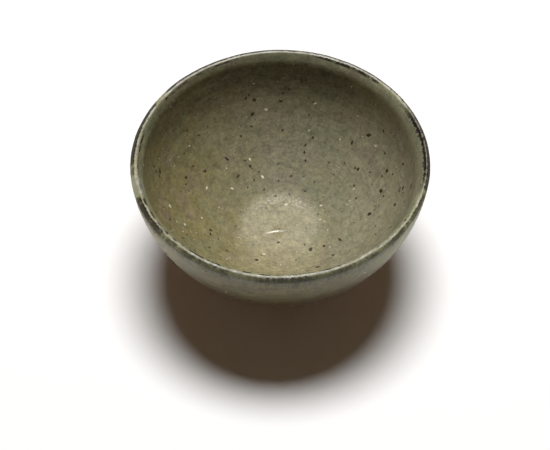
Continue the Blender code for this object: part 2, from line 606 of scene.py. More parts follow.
@dataclass
class Skin:
    """The glazed surface as one grid of points and normals, cut into stretches by rows."""

    form: CupForm
    throwing: Throwing
    around: int = 256
    inside_rows: int = 128
    lip_rows: int = 30
    outside_rows: int = 88
    bare_rows: int = 14
    hem_crowding: float = 1.6

    def __post_init__(self) -> None:
        """Work out the grid."""
        form, throwing = self.form, self.throwing
        section = Section(form)
        wash_end = form.rim_plane - form.wash_drop
        self.marks = SkinMarks(
            pool=form.pool_radius,
            lip_in=section.reach(wash_end, inside=True),
            crest=section.reach(form.lip_top, inside=True) + form.lip_flat / 2,
            lip_out=section.reach(wash_end, inside=False),
            hem=section.reach(form.base_height + form.glaze_stop, inside=False),
            base=float(section.along[-1]),
        )
        self.angle = np.linspace(0.0, FULL_TURN, self.around, endpoint=False)
        self.hem = self.marks.hem + throwing.hem_wave * waves_round(self.angle, throwing.hem_waves)
        along = self.row_distances()
        self.points, self.normals = self.surface(section, along)
        self.from_crest = (along - self.marks.crest) / MM
        outside_start = self.inside_rows + self.lip_rows
        self.bare_start = outside_start + self.outside_rows
        self.rows = {
            Side.INSIDE: slice(0, self.inside_rows + 1),
            Side.LIP: slice(self.inside_rows, outside_start + 1),
            Side.OUTSIDE: slice(outside_start, self.bare_start + 1),
        }

    def search_tree(self) -> BVHTree:
        """The skin as a search tree, for rays and nearest points."""
        index = np.arange(self.points[..., 0].size).reshape(self.points.shape[:2])
        return BVHTree.FromPolygons(self.points.reshape(-1, 3).tolist(), quads_of(index).tolist())

    def row_distances(self) -> np.ndarray:
        """Space the rows along the section. They crowd towards the wavy hem.

        Returns:
            Distance along the section, by row and by angle.
        """
        marks, hem = self.marks, self.hem
        inside = np.linspace(0.0, marks.lip_in, self.inside_rows, endpoint=False)
        lip = np.linspace(marks.lip_in, marks.lip_out, self.lip_rows, endpoint=False)
        fixed = np.repeat(np.append(inside, lip)[:, None], self.around, axis=1)
        share = 1 - (1 - np.linspace(0.0, 1.0, self.outside_rows, endpoint=False)) ** self.hem_crowding
        outside = marks.lip_out + share[:, None] * (hem - marks.lip_out)
        bare = np.linspace(hem, np.full_like(hem, marks.base), self.bare_rows)
        return np.vstack([fixed, outside, bare])

    def surface(self, section: Section, along: np.ndarray) -> tuple[np.ndarray, np.ndarray]:
        """Turn the section about the axis and move it by the marks of throwing.

        Args:
            section: The skin's section.
            along: Distance along it for every grid point.

        Returns:
            Points and unit normals of the grid.
        """
        throwing = self.throwing
        angle = np.repeat(self.angle[None, :], len(along), axis=0)
        radius, height = section.at(along)
        radius = radius + throwing.lean(along, angle, self.marks.crest)
        plain = turned(radius, height, angle)
        lift = throwing.lift(along, plain, angle, self.marks) + self.hem_edge(along)
        points = plain + square_to(plain) * lift[..., None]
        share = np.clip(height / self.form.lip_top, 0.0, 1.0) ** 2
        oval = throwing.out_of_round * waves_round(angle, throwing.oval_waves) / self.form.rim_radius
        points[..., 2] += share * throwing.rim_wave * waves_round(angle, throwing.rim_waves)
        points[..., :2] *= (1 + share * oval)[..., None]
        return points, square_to(points)

    def hem_edge(self, along: np.ndarray) -> np.ndarray:
        """Shape the thick roll at the outer glaze's lower edge, which rounds off to the clay.

        Args:
            along: Distance along the section for every grid point.

        Returns:
            One height for each grid point.
        """
        glaze, width = self.form.glaze, self.throwing.hem_roll_width
        up = self.hem - along
        roll = self.throwing.hem_roll * np.exp(-(((up - width) / width) ** 2))
        edge = np.clip(1 - up / glaze, 0.0, 1.0)
        return np.where(up >= 0, roll - glaze * (1 - np.sqrt(1 - edge**2)), -glaze)


@dataclass
class MeshParts:
    """Points, faces and corner normals gathered for one mesh."""

    name: str

    def __post_init__(self) -> None:
        """Start empty."""
        self.points: list[np.ndarray] = []
        self.faces: list[list[int]] = []
        self.normals: list[np.ndarray] = []
        self.count = 0

    def add_grid(self, grid: np.ndarray) -> np.ndarray:
        """Add a grid of points. A row that has shrunk to one place becomes one point.

        Args:
            grid: Points by row and by angle.

        Returns:
            The index of each grid point.
        """
        index = np.empty(grid.shape[:2], int)
        for row, places in enumerate(grid):
            kept = places[:1] if is_pole(places) else places
            index[row] = np.arange(self.count, self.count + len(kept))
            self.points.append(kept)
            self.count += len(kept)
        return index

    def add_faces(self, index: np.ndarray, normals: np.ndarray | None = None, flip: bool = False) -> None:
        """Skin a grid that is closed around. A face that touches a pole has three corners.

        Args:
            index: Point index by row and by angle.
            normals: Normal of each grid point, or None for the faces' own.
            flip: Whether the faces look the other way.
        """
        rows, columns = np.indices(index.shape)
        turn = [3, 2, 1, 0] if flip else [0, 1, 2, 3]
        sign = -1.0 if flip else 1.0
        for quad, row, column in zip(quads_of(index), quads_of(rows), quads_of(columns)):
            order = [spot for step, spot in enumerate(turn) if quad[spot] != quad[turn[step - 1]]]
            if len(order) < 3:
                continue
            self.faces.append([int(quad[spot]) for spot in order])
            own = np.zeros((len(order), 3))
            self.normals.append(own if normals is None else sign * normals[row[order], column[order]])

    def build(self, material: bpy.types.Material) -> bpy.types.Object:
        """Make the object.

        Args:
            material: Its finish.

        Returns:
            The object, in the scene.
        """
        mesh = bpy.data.meshes.new(self.name)
        mesh.from_pydata(np.vstack(self.points).tolist(), [], self.faces)
        mesh.shade_smooth()
        mesh.normals_split_custom_set(np.vstack(self.normals).tolist())
        mesh.materials.append(material)
        return place_object(bpy.data.objects.new(self.name, mesh))


def place_object(piece: bpy.types.Object) -> bpy.types.Object:
    """Put an object into the scene."""
    bpy.context.scene.collection.objects.link(piece)
    return piece


def mark_points(piece: bpy.types.Object, name: str, values: np.ndarray) -> None:
    """Give each of a piece's points a value, for its material to read."""
    mark = piece.data.attributes.new(name, "FLOAT", "POINT")
    mark.data.foreach_set("value", values)


def ride_on_cup(piece: bpy.types.Object, node: str | None = None) -> bpy.types.Object:
    """Tie a piece to the cup's body, and hide the node that it stands for.

    Args:
        piece: The piece.
        node: Node that it replaces, if any.

    Returns:
        The piece.
    """
    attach(piece, BODY)
    if node:
        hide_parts(node)
    return piece


@dataclass(frozen=True)
class SpotLayer:
    """Round spots of mixed sizes, strewn over a surface.

    A spot may be in each cell of a grid. The share that is empty goes from 0 to 1, as do the strength in a
    spot's middle and the share of its radius that its soft edge takes.
    """

    colour: str
    cell_mm: float
    radius_mm: float
    empty: float
    strength: float
    edge: float = 0.45


@dataclass
class Sheet:
    """A material being painted, with the coordinates that its patterns use, in millimetres."""

    name: str

    def __post_init__(self) -> None:
        """Start a material with one Principled shader."""
        self.material = bpy.data.materials.new(self.name)
        self.material.use_nodes = True
        self.tree = self.material.node_tree
        self.add: Callable[..., bpy.types.Node] = partial(add_node, self.tree)
        place = self.add("TexCoord").outputs["Object"]
        self.mm = self.add("VectorMath", SCALED, place, Scale=1 / MM)
        self.across, self.ahead, self.height = self.add("SeparateXYZ", None, self.mm).outputs
        self.level = self.add("VectorMath", TIMES, self.mm, LEVEL)
        self.radius = self.add("VectorMath", LENGTH, self.level)

    def spotted(self, base: Input, layer: SpotLayer) -> bpy.types.Node:
        """Paint spots over a colour.

        Args:
            base: Colour so far.
            layer: The spots.

        Returns:
            Node with the colour.
        """
        add = self.add
        most = layer.radius_mm / layer.cell_mm
        cells = add("TexVoronoi", None, Vector=self.mm, Scale=1 / layer.cell_mm)
        lot = add("SeparateColor", None, cells.outputs["Color"])
        size = add("MapRange", None, lot, layer.empty, 1.0, 0.0, most)
        gap = add("Math", LESS, cells, size)
        mask = add("MapRange", EASED, gap, 0.0, -layer.edge * most, 0.0, layer.strength)
        return add("Mix", COLOUR, Factor=mask, A=base, B=linear(layer.colour))

    def finish(self, **inputs: Input) -> bpy.types.Material:
        """Set the shader's inputs and hand over the material.

        Args:
            **inputs: What they take, by their names with underscores for spaces.

        Returns:
            The material.
        """
        for name, value in inputs.items():
            feed(self.tree, self.tree.nodes["Principled BSDF"], name, value)
        return self.material


@dataclass(frozen=True)
class Stretch:
    """A part of the rim: the bearing of its middle, its half-width, its weight and how softly it ends."""

    bearing: float
    width: float
    weight: float = 1.0
    ease: float = 7.0


@dataclass
class GlazeSheet(Sheet):
    """A glaze being painted on one stretch of the skin, which knows how far it is from the lip."""

    side: Side
    form: CupForm
    change_mm: Span = (-0.3, 0.6)

    def __post_init__(self) -> None:
        """Add how far a point is under the crest, past it and along the skin from it, and its bearing."""
        super().__post_init__()
        self.drop = self.add("Math", LESS, self.form.lip_top / MM, self.height)
        self.bearing = self.add("VectorMath", ONE_LONG, self.level)
        self.past_crest = self.add("Math", LESS, self.radius, self.form.lip_line / MM)
        if self.side is not Side.INSIDE:
            self.reach = self.add("Attribute", {"attribute_name": CREST_MARK}).outputs["Fac"]
        if self.side is Side.LIP:
            self.outward = self.add("MapRange", EASED, self.past_crest, *self.change_mm)

    def over_lip(self, kind: dict, inner: Input, outer: Input) -> Input:
        """Take one value inside and another outside, with a change from one to the other over the lip.

        Args:
            kind: Settings of the mix: colour or plain.
            inner: What the inside takes.
            outer: What the outside takes.

        Returns:
            What a node's input takes.
        """
        if self.side is Side.LIP:
            return self.add("Mix", kind, Factor=self.outward, A=inner, B=outer)
        return inner if self.side is Side.INSIDE else outer

    def facing(self, stretches: tuple[Stretch, ...], start: Input = 0.0) -> Input:
        """Add up the weights of the stretches of the rim that a point is on.

        Args:
            stretches: The stretches.
            start: What the weights are added to.

        Returns:
            What a node's input takes.
        """
        total = start
        for stretch in stretches:
            way = math.radians(stretch.bearing)
            near = self.add("VectorMath", ALONG, self.bearing, (math.cos(way), math.sin(way), 0.0))
            ends = (stretch.width + stretch.ease, max(stretch.width - stretch.ease, 0.0))
            mask = self.add("MapRange", EASED, near, *(math.cos(math.radians(end)) for end in ends))
            total = self.add("Math", TIMES_PLUS, mask, stretch.weight, total)
        return total

    def within(self, value: Input, *spans: Span, mask: Input = 1.0) -> Input:
        """Narrow a mask to where a value lies inside some spans.

        Args:
            value: The value.
            *spans: Where the mask is still empty and where it is full, at each end.
            mask: The mask to narrow.

        Returns:
            What a node's input takes.
        """
        for span in spans:
            mask = self.add("Math", TIMES, mask, self.add("MapRange", EASED, value, *span))
        return mask


@dataclass(frozen=True)
class FlamedGround:
    """Ground colour of the ash glaze: olive where it met the flame, greyer away from it.

    Ash melts unevenly, so the eye meets soft clouds of mauve and sage and a grey-green band under the lip.
    On the outside it turns brown towards the foot: partly a darker glaze there, partly painted shade.
    """

    warm: str = "#7c734b"
    cool: str = "#837f66"
    outer_warm: str = "#776d3f"
    outer_cool: str = "#79764c"
    rim: str = "#7a7c60"
    mauve: str = "#7d7060"
    sage: str = "#72765a"
    # Brown towards the foot: partly a darker glaze, partly painted shade over the table's shadow
    low: str = "#3f2b04"
    flame_way: Place = (0.85, 0.45, 0.0)
    flame_reach_mm: Span = (-4.0, 44.0)
    flame_swing_mm: float = 44.0
    mottle_mm: float = 11.0
    rim_drop_mm: Span = (3.8, 1.2)
    rim_share: float = 0.65
    haze_mm: float = 8.0
    mauve_haze: Span = (0.50, 0.72)
    mauve_share: float = 0.45
    outer_mauve_share: float = 0.10
    sage_haze: Span = (0.50, 0.30)
    sage_share: float = 0.40
    low_brown_and_shade_height_mm: Span = (42.5, 27.0)
    low_brown_and_shade_share: float = 0.94

    def paint(self, sheet: GlazeSheet) -> Input:
        """Paint the ground.

        Args:
            sheet: The material being painted.

        Returns:
            Its colour.
        """
        add = sheet.add
        mottle = add("TexNoise", None, Vector=sheet.mm, Scale=1 / self.mottle_mm, Detail=CLOUDY)
        way = add("VectorMath", ALONG, sheet.mm, self.flame_way)
        swing = add("Math", TIMES_PLUS, mottle, self.flame_swing_mm, way)
        flame = add("MapRange", EASED, swing, *self.flame_reach_mm)
        rim = add("MapRange", EASED, sheet.drop, *self.rim_drop_mm, 0.0, self.rim_share)
        sides = []
        for warm, cool in ((self.warm, self.cool), (self.outer_warm, self.outer_cool)):
            colour = add("Mix", COLOUR, Factor=flame, A=linear(warm), B=linear(cool))
            sides.append(add("Mix", COLOUR, Factor=rim, A=colour, B=linear(self.rim)))
        base = sheet.over_lip(COLOUR, *sides)
        haze = add("TexNoise", None, Vector=sheet.mm, Scale=1 / self.haze_mm, Detail=CLOUDY)
        mauve_share = self.outer_mauve_share if sheet.side is Side.OUTSIDE else self.mauve_share
        clouds = [
            (haze, self.mauve_haze, mauve_share, self.mauve),
            (haze, self.sage_haze, self.sage_share, self.sage),
        ]
        if sheet.side is not Side.INSIDE:
            clouds.append((sheet.height, self.low_brown_and_shade_height_mm, self.low_brown_and_shade_share, self.low))
        for value, span, share, colour in clouds:
            mask = add("MapRange", EASED, value, *span, 0.0, share)
            base = add("Mix", COLOUR, Factor=mask, A=base, B=linear(colour))
        return base


@dataclass(frozen=True)
class FiredGloss:
    """Roughness of the glaze as fired: dry inside, satin outside, and shinier over the top of the lip."""

    dry: Span = (0.72, 0.90)
    satin: Span = (0.34, 0.50)
    clear: Span = (0.38, 0.54)
    clear_swing: Span = (0.35, 0.65)
    clear_drop_mm: Span = (1.2, 0.4)
    clear_past_mm: Span = (0.9, 0.1)

    def paint(self, sheet: GlazeSheet, grain: bpy.types.Node) -> bpy.types.Node:
        """Set the roughness.

        Args:
            sheet: The material being painted.
            grain: Noise of the ash's grain.

        Returns:
            Node with the roughness.
        """
        add = sheet.add
        spans = [add("MapRange", None, grain, *NOISE_SWING, *span) for span in (self.dry, self.satin)]
        plain = sheet.over_lip(PLAIN, *spans)
        lip = sheet.within(sheet.drop, self.clear_drop_mm)
        lip = sheet.within(sheet.past_crest, self.clear_past_mm, mask=lip)
        clear = add("MapRange", None, grain, *self.clear_swing, *self.clear)
        return add("Mix", PLAIN, Factor=lip, A=plain, B=clear)


@dataclass(frozen=True)
class MilkyPool:
    """Glaze that pooled on the floor.

    It is thick there, so the eye meets a milky disc with a satin shine that thins out towards the front,
    and a glossy place where a fingertip wiped it. Along its far edge, painted glints and painted shade
    stand in for the sparkle of its fine wrinkles in the lamp's shine.
    """

    milky: str = "#9a916f"
    milk_share: float = 0.68
    centre_mm: Place = (0.1, 0.8, 0.0)
    # In front of its centre the pool is measured across only, so there its sides run straight forward
    open_front_mm: Place = (-100.0, 0.0, 0.0)
    front_mm: Span = (2.0, -8.0)
    outer_mm: Span = (1.9, 4.0)
    inner_mm: Span = (-4.5, -8.5)
    fade_mm: Span = (-31.0, -8.0)
    satin: Span = (0.33, 0.50)
    shine_mm: Span = (-14.0, 2.0)
    shine_share: Span = (0.25, 1.0)
    wiped_mm: Place = (-0.9, -1.3, 0.0)
    wiped_reach_mm: Span = (3.6, 0.8)
    wiped_roughness: float = 0.22
    wrinkle_mm: float = 0.7
    sparkle_band_mm: Span = (-8.0, -3.0)
    sparkle_back_mm: Span = (2.0, 8.0)
    # Painted glints, pale, and painted shade, dark, along the far edge where the shine catches the lamp
    painted_glints_and_shade: tuple[tuple[str, Span, float], ...] = (
        ("#3a3122", (0.46, 0.34), 0.50),
        ("#bdb69c", (0.53, 0.67), 0.60),
    )

    def paint(
        self, sheet: GlazeSheet, base: Input, rough: Input, fine: bpy.types.Node
    ) -> tuple[bpy.types.Node, bpy.types.Node]:
        """Paint the pool.

        Args:
            sheet: The material being painted.
            base: Colour so far.
            rough: Roughness so far.
            fine: Noise of the ash's finest grain.

        Returns:
            Colour and roughness.
        """
        add = sheet.add
        offset = add("VectorMath", LESS, sheet.level, self.centre_mm)
        offset = add("VectorMath", MOST, offset, self.open_front_mm)
        reach = add("VectorMath", LENGTH, offset)
        past_edge = add("Math", LESS, reach, sheet.form.pool_radius / MM)
        front = add("MapRange", EASED, sheet.ahead, *self.front_mm)
        ends = (add("MapRange", None, front, *UNIT, *span) for span in (self.outer_mm, self.inner_mm))
        pool = add("MapRange", EASED, past_edge, *ends)
        pool = sheet.within(sheet.ahead, self.fade_mm, mask=pool)
        milk = add("Math", TIMES, pool, self.milk_share)
        base = add("Mix", COLOUR, Factor=milk, A=base, B=linear(self.milky))

        satin = add("MapRange", None, fine, *NOISE_SWING, *self.satin)
        near = add("MapRange", EASED, sheet.ahead, *self.shine_mm, *self.shine_share)
        shine = add("Math", TIMES, pool, near)
        rough = add("Mix", PLAIN, Factor=shine, A=rough, B=satin)
        away = add("VectorMath", DISTANCE, sheet.level, self.wiped_mm)
        wiped = add("MapRange", EASED, away, *self.wiped_reach_mm)
        rough = add("Mix", PLAIN, Factor=wiped, A=rough, B=self.wiped_roughness)

        wrinkle = add("TexNoise", None, Vector=sheet.mm, Scale=1 / self.wrinkle_mm, Detail=CLOUDY)
        ring = sheet.within(past_edge, self.sparkle_band_mm, mask=pool)
        ring = sheet.within(sheet.ahead, self.sparkle_back_mm, mask=ring)
        # Painted glints and painted shade in the band along the far edge
        for colour, swing, share in self.painted_glints_and_shade:
            sparkle = add("MapRange", EASED, wrinkle, *swing, 0.0, share)
            sparkle = add("Math", TIMES, sparkle, ring)
            base = add("Mix", COLOUR, Factor=sparkle, A=base, B=linear(colour))
        return base, rough


@dataclass(frozen=True)
class PaintedShadingBand:
    """A stretch of the wall under the lip, painted darker where it lies in shade and paler where the lamp
    lights it.

    The stretch's weight is how much paler it is. The band starts and ends over distances under the crest.
    """

    stretch: Stretch
    starts_mm: Span
    ends_mm: Span


@dataclass(frozen=True)
class AshGrain:
    """Depth of the glaze's colour, uneven at every scale, with small crystals and soft iron specks.

    Ash lands as grains and the coat is wiped on the wheel, so the eye meets a dry mottle that runs a little
    round the wall. The depth also carries painted light and shade on each side of the cup, and a paler
    patch on the right of the inner wall.
    """

    cloud_mm: float = 2.6
    wiping_mm: float = 1.1
    # The wiping counts a turn as a ring of this small radius, so its marks come out long round the wall
    wiping_girth_mm: float = 8.0
    unevenness: tuple[float, ...] = (0.80, 0.50, 0.95, 0.45)
    outer_unevenness: tuple[float, ...] = (0.8, 0.8, 1.5, 0.6)
    saturation: Span = (1.2, 0.8)
    # Painted shade: the inner wall darkens towards the back, which faces away from the lamp
    painted_back_shade_ahead_mm: Span = (-8.0, 20.0)
    painted_back_shade_gain: Span = (0.02, -0.10)
    # Outside: painted shade at the front, over the table's shadow, and painted light at the sides
    painted_outside_light_ahead_mm: Span = (-42.0, -20.0)
    painted_outside_light_gain: Span = (-0.27, 0.60)
    right_across_mm: Span = (8.0, 32.0)
    right_ahead_mm: Span = (-18.0, -2.0)
    right_gain: float = 0.17
    # Under the lip: painted light at the front, facing the lamp, painted shade at the back and left
    painted_shading_bands: tuple[PaintedShadingBand, ...] = (
        PaintedShadingBand(Stretch(285.0, 110.0, 0.20, 25.0), (-2.0, -1.0), (11.0, 4.0)),
        PaintedShadingBand(Stretch(100.0, 50.0, -0.25, 25.0), (2.4, 4.4), (16.0, 8.0)),
        PaintedShadingBand(Stretch(172.0, 24.0, -0.25, 15.0), (0.4, 1.2), (5.5, 3.0)),
    )
    spots: tuple[SpotLayer, ...] = (
        SpotLayer("#bdb69c", 1.3, 0.26, 0.80, 0.70),
        SpotLayer("#3a3122", 1.4, 0.36, 0.50, 0.65),
        SpotLayer("#3a3122", 3.4, 0.60, 0.70, 0.75),
    )

    def paint(
        self, sheet: GlazeSheet, base: Input, grain: bpy.types.Node, fine: bpy.types.Node
    ) -> bpy.types.Node:
        """Make the colour uneven, then add the crystals and specks.

        Args:
            sheet: The material being painted.
            base: Colour so far.
            grain: Noise of the ash's grain.
            fine: Noise of its finest grain.

        Returns:
            Node with the colour.
        """
        add = sheet.add
        cloud = add("TexNoise", None, Vector=sheet.mm, Scale=1 / self.cloud_mm, Detail=CLOUDY)
        girth = add("VectorMath", SCALED, sheet.bearing, Scale=self.wiping_girth_mm)
        course = add("CombineXYZ", None, Z=add("Math", PLUS, sheet.radius, sheet.height))
        course = add("VectorMath", PLUS, girth, course)
        wiping = add("TexNoise", None, Vector=course, Scale=1 / self.wiping_mm, Detail=CLOUDY)
        is_outside = sheet.side is Side.OUTSIDE
        unevenness = self.outer_unevenness if is_outside else self.unevenness
        depth = add("Math", PLUS, self.painted_light_and_shade(sheet), 1 - NOISE_MIDDLE * sum(unevenness))
        for texture, weight in zip((cloud, wiping, grain, fine), unevenness):
            depth = add("Math", TIMES_PLUS, texture, weight, depth)
        strength = add("MapRange", None, fine, *NOISE_SWING, *self.saturation)
        base = add("HueSaturation", None, Saturation=strength, Value=depth, Color=base)
        for layer in self.spots:
            base = sheet.spotted(base, layer)
        return base

    def painted_light_and_shade(self, sheet: GlazeSheet) -> Input:
        """Work out the painted light and shade, and the paler patch on the right, that go into the depth of
        colour.

        Args:
            sheet: The material being painted.

        Returns:
            What is added to the depth of colour.
        """
        add = sheet.add
        inner = add("MapRange", EASED, sheet.ahead, *self.painted_back_shade_ahead_mm, *self.painted_back_shade_gain)
        outer = add("MapRange", EASED, sheet.ahead, *self.painted_outside_light_ahead_mm, *self.painted_outside_light_gain)
        for band in self.painted_shading_bands:
            share = sheet.facing((band.stretch,))
            gain = sheet.within(sheet.drop, band.starts_mm, band.ends_mm, mask=share)
            inner = add("Math", PLUS, inner, gain)
        right = sheet.within(sheet.across, self.right_across_mm, mask=self.right_gain)
        right = sheet.within(sheet.ahead, self.right_ahead_mm, mask=right)
        return sheet.over_lip(PLAIN, add("Math", PLUS, inner, right), outer)


@dataclass(frozen=True)
class PaleRunAndCrestHighlight:
    """The lip where the glaze is thick: a pale run over it, and a painted highlight along the crest, broken
    in places.
    """

    pale: str = "#8b8b77"
    # Painted highlight: a near-white line along the crest, where the lamp's shine runs
    crest_highlight: str = "#b5b1a4"
    runs: tuple[Stretch, ...] = (Stretch(195.5, 3.5, 1.0, 2.5),)
    run_starts_mm: Span = (-3.0, -2.2)
    run_ends_mm: Span = (1.2, 0.4)
    crest_highlight_mm: Span = (0.55, 0.15)
    crest_highlight_share: float = 0.9
    highlight_breaks_mm: float = 2.2
    highlight_breaks_roughness: float = 0.65
    highlight_breaks_from: float = 0.46
    highlight_breaks_swing: float = 0.2
    broken_share: float = 0.1
    whole: tuple[Stretch, ...] = (Stretch(90.0, 65.0, -0.10, 35.0),)

    def paint(self, sheet: GlazeSheet, base: Input) -> bpy.types.Node:
        """Paint the run and the painted highlight along the crest.

        Args:
            sheet: The material being painted.
            base: Colour so far.

        Returns:
            Node with the colour.
        """
        add = sheet.add
        share = sheet.facing(self.runs)
        run = sheet.within(sheet.reach, self.run_starts_mm, self.run_ends_mm, mask=share)
        base = add("Mix", COLOUR, Factor=run, A=base, B=linear(self.pale))
        # Painted highlight along the crest, broken here and there by noise
        away = add("Math", UNSIGNED, sheet.reach)
        crest_highlight = add("MapRange", EASED, away, *self.crest_highlight_mm, 0.0, self.crest_highlight_share)
        highlight_breaks = add(
            "TexNoise",
            None,
            Vector=sheet.mm,
            Scale=1 / self.highlight_breaks_mm,
            Detail=RAGGED,
            Roughness=self.highlight_breaks_roughness,
        )
        break_start = sheet.facing(self.whole, self.highlight_breaks_from)
        whole = add("Math", PLUS, break_start, self.highlight_breaks_swing)
        highlight_breaks = add("MapRange", EASED, highlight_breaks, break_start, whole, self.broken_share, 1.0)
        crest_highlight = add("Math", TIMES, crest_highlight, highlight_breaks)
        return add("Mix", COLOUR, Factor=crest_highlight, A=base, B=linear(self.crest_highlight))


@dataclass(frozen=True)
class IronLine:
    """Iron wash that breaks through the glaze along the lip, where the coat ran thin.

    The eye meets a torn dark band outside the crest that drips a little, a fine dotted line inside it, and
    one stretch where the iron goes right over. It is glassy near the crest and matt below. Places count
    outward from the crest along the skin.
    """

    iron: str = "#1e160d"
    roughness: Span = (0.22, 0.80)
    matt_mm: Span = (0.5, 1.1)
    tear_mm: float = 1.2
    tear_roughness: float = 0.68
    tear_shape: Place = (1.0, 1.0, 0.30)
    patch_mm: float = 5.0
    upper_rag: float = 0.9
    ragged: tuple[Stretch, ...] = (Stretch(262.0, 45.0, 2.7, 15.0), Stretch(6.0, 30.0, 2.7, 15.0))
    raised: tuple[Stretch, ...] = (
        Stretch(107.5, 79.5, 0.22),
        Stretch(214.0, 14.0, 0.22),
        Stretch(300.0, 16.0, -0.4),
    )
    lower_rag: float = 2.8
    rise_mm: Span = (0.25, 0.55)
    fall_mm: Span = (2.6, 1.6)
    loads: tuple[Stretch, ...] = (
        Stretch(84.5, 103.5, 0.45),
        Stretch(208.0, 9.0, 0.23),
        Stretch(269.0, 72.0, 0.22),
        Stretch(270.0, 6.0, 0.10),
        Stretch(331.0, 13.0, 0.10),
    )
    gaps: tuple[Stretch, ...] = (
        Stretch(147.0, 4.0, -0.45, 2.5),
        Stretch(195.5, 4.0, -0.45, 2.5),
        Stretch(256.0, 3.5, -0.45, 2.5),
    )
    load_span: Span = (0.22, 0.45)
    darkness: Span = (0.72, 0.95)
    patch_load: float = 0.9
    tear_load: float = 1.4
    cover_span: Span = (1.0, 1.55)
    drip_mm: float = 9.0
    drip_span_mm: Span = (-1.6, -3.4)
    drip_share: float = 0.55
    over: tuple[Stretch, ...] = (Stretch(6.0, 20.0),)
    over_mm: Span = (-1.20, -0.90)
    stain_mm: Span = (-3.2, -1.2)
    stain_share: float = 0.32
    bare_rag: float = 1.6
    bare_mm: Span = (0.0, 0.30)
    bare_share: Span = (0.55, 1.0)
    dot_mm: float = 2.6
    dots: tuple[Stretch, ...] = (
        Stretch(60.0, 12.0, 0.24),
        Stretch(128.0, 20.0, 0.13),
        Stretch(178.0, 12.0, 0.13),
        Stretch(209.0, 8.0, 0.04),
        Stretch(218.0, 22.0, 0.13),
        Stretch(266.0, 34.0, 0.13),
    )
    dot_span: Span = (0.54, 0.74)
    dot_share: float = 0.92
    wander_mm: float = 0.6
    line_deep: tuple[Stretch, ...] = (Stretch(150.0, 40.0, 0.6, 15.0),)
    line_wide: tuple[Stretch, ...] = (Stretch(60.0, 12.0, 0.35),)
    line_near_mm: Span = (0.25, 0.02)
    line_far_mm: Span = (-0.70, -0.40)

    def paint(self, sheet: GlazeSheet, base: Input, rough: Input) -> tuple[bpy.types.Node, bpy.types.Node]:
        """Paint the iron over the glaze.

        Args:
            sheet: The material being painted.
            base: Colour so far.
            rough: Roughness so far.

        Returns:
            Colour and roughness.
        """
        add = sheet.add
        mask = self.mask(sheet)
        base = add("Mix", COLOUR, Factor=mask, A=base, B=linear(self.iron))
        matt = add("MapRange", EASED, sheet.reach, *self.matt_mm, *self.roughness)
        return base, add("Mix", PLAIN, Factor=mask, A=rough, B=matt)

    def mask(self, sheet: GlazeSheet) -> bpy.types.Node:
        """Find where the iron shows.

        Args:
            sheet: The material being painted.

        Returns:
            Node with the mask.
        """
        add, reach = sheet.add, sheet.reach
        upright = add("VectorMath", TIMES, sheet.mm, self.tear_shape)
        tear = add(
            "TexNoise",
            None,
            Vector=upright,
            Scale=1 / self.tear_mm,
            Detail=RAGGED,
            Roughness=self.tear_roughness,
        )
        patch = add("TexNoise", None, Vector=sheet.mm, Scale=1 / self.patch_mm, Detail=SMOOTH)
        torn = add("Math", LESS, tear, NOISE_MIDDLE)
        upper = add("Math", TIMES_PLUS, torn, sheet.facing(self.ragged, self.upper_rag), reach)
        upper = sheet.facing(self.raised, upper)
        lower = add("Math", TIMES_PLUS, torn, self.lower_rag, reach)
        rise = add("MapRange", EASED, upper, *self.rise_mm)
        fall = add("MapRange", EASED, lower, *self.fall_mm)
        load = sheet.facing(self.loads)
        most = add("MapRange", None, load, *self.load_span, *self.darkness)
        laden = add("Math", TIMES_PLUS, patch, self.patch_load, load)
        laden = add("Math", TIMES_PLUS, tear, self.tear_load, laden)
        laden = sheet.facing(self.gaps, laden)
        cover = add("MapRange", EASED, laden, *self.cover_span, 0.0, most)
        drip = add("Math", TIMES_PLUS, tear, -self.drip_mm, sheet.drop)
        drip = add("MapRange", EASED, drip, *self.drip_span_mm, 0.0, self.drip_share)
        band = add("Math", MOST, fall, drip)
        for share in (rise, cover):
            band = add("Math", TIMES, band, share)
        if sheet.side is Side.LIP:
            for other in (self.over_crest(sheet, torn, upper, fall), self.inner_line(sheet, patch)):
                band = add("Math", MOST, band, other)
        return band

    def over_crest(self, sheet: GlazeSheet, torn: Input, upper: Input, fall: Input) -> bpy.types.Node:
        """Find where the iron goes right over the crest, rubbed thin along its top.

        Args:
            sheet: The material being painted.
            torn: Noise of the tears, about 0.
            upper: Distance from the crest, torn.
            fall: Mask of the lower edge of the iron.

        Returns:
            Node with the mask.
        """
        add = sheet.add
        top = add("MapRange", EASED, upper, *self.over_mm)
        stain = add("MapRange", EASED, upper, *self.stain_mm, 0.0, self.stain_share)
        top = add("Math", MOST, top, stain)
        bare = add("Math", UNSIGNED, sheet.reach)
        bare = add("Math", TIMES_PLUS, torn, self.bare_rag, bare)
        bare = add("MapRange", EASED, bare, *self.bare_mm, *self.bare_share)
        for share in (bare, sheet.facing(self.over), fall):
            top = add("Math", TIMES, top, share)
        return top

    def inner_line(self, sheet: GlazeSheet, patch: bpy.types.Node) -> Input:
        """Find the fine dotted line of iron inside the crest.

        Args:
            sheet: The material being painted.
            patch: Noise of the glaze's patches.

        Returns:
            What a node's input takes.
        """
        add = sheet.add
        speckle = add("TexNoise", None, Vector=sheet.mm, Scale=1 / self.dot_mm, Detail=RAGGED)
        speckle = sheet.facing(self.dots, speckle)
        line = add("MapRange", EASED, speckle, *self.dot_span, 0.0, self.dot_share)
        wander = add("Math", TIMES_PLUS, patch, self.wander_mm, sheet.reach)
        wander = sheet.facing(self.line_deep, wander)
        line = sheet.within(wander, self.line_near_mm, mask=line)
        return sheet.within(sheet.facing(self.line_wide, wander), self.line_far_mm, mask=line)


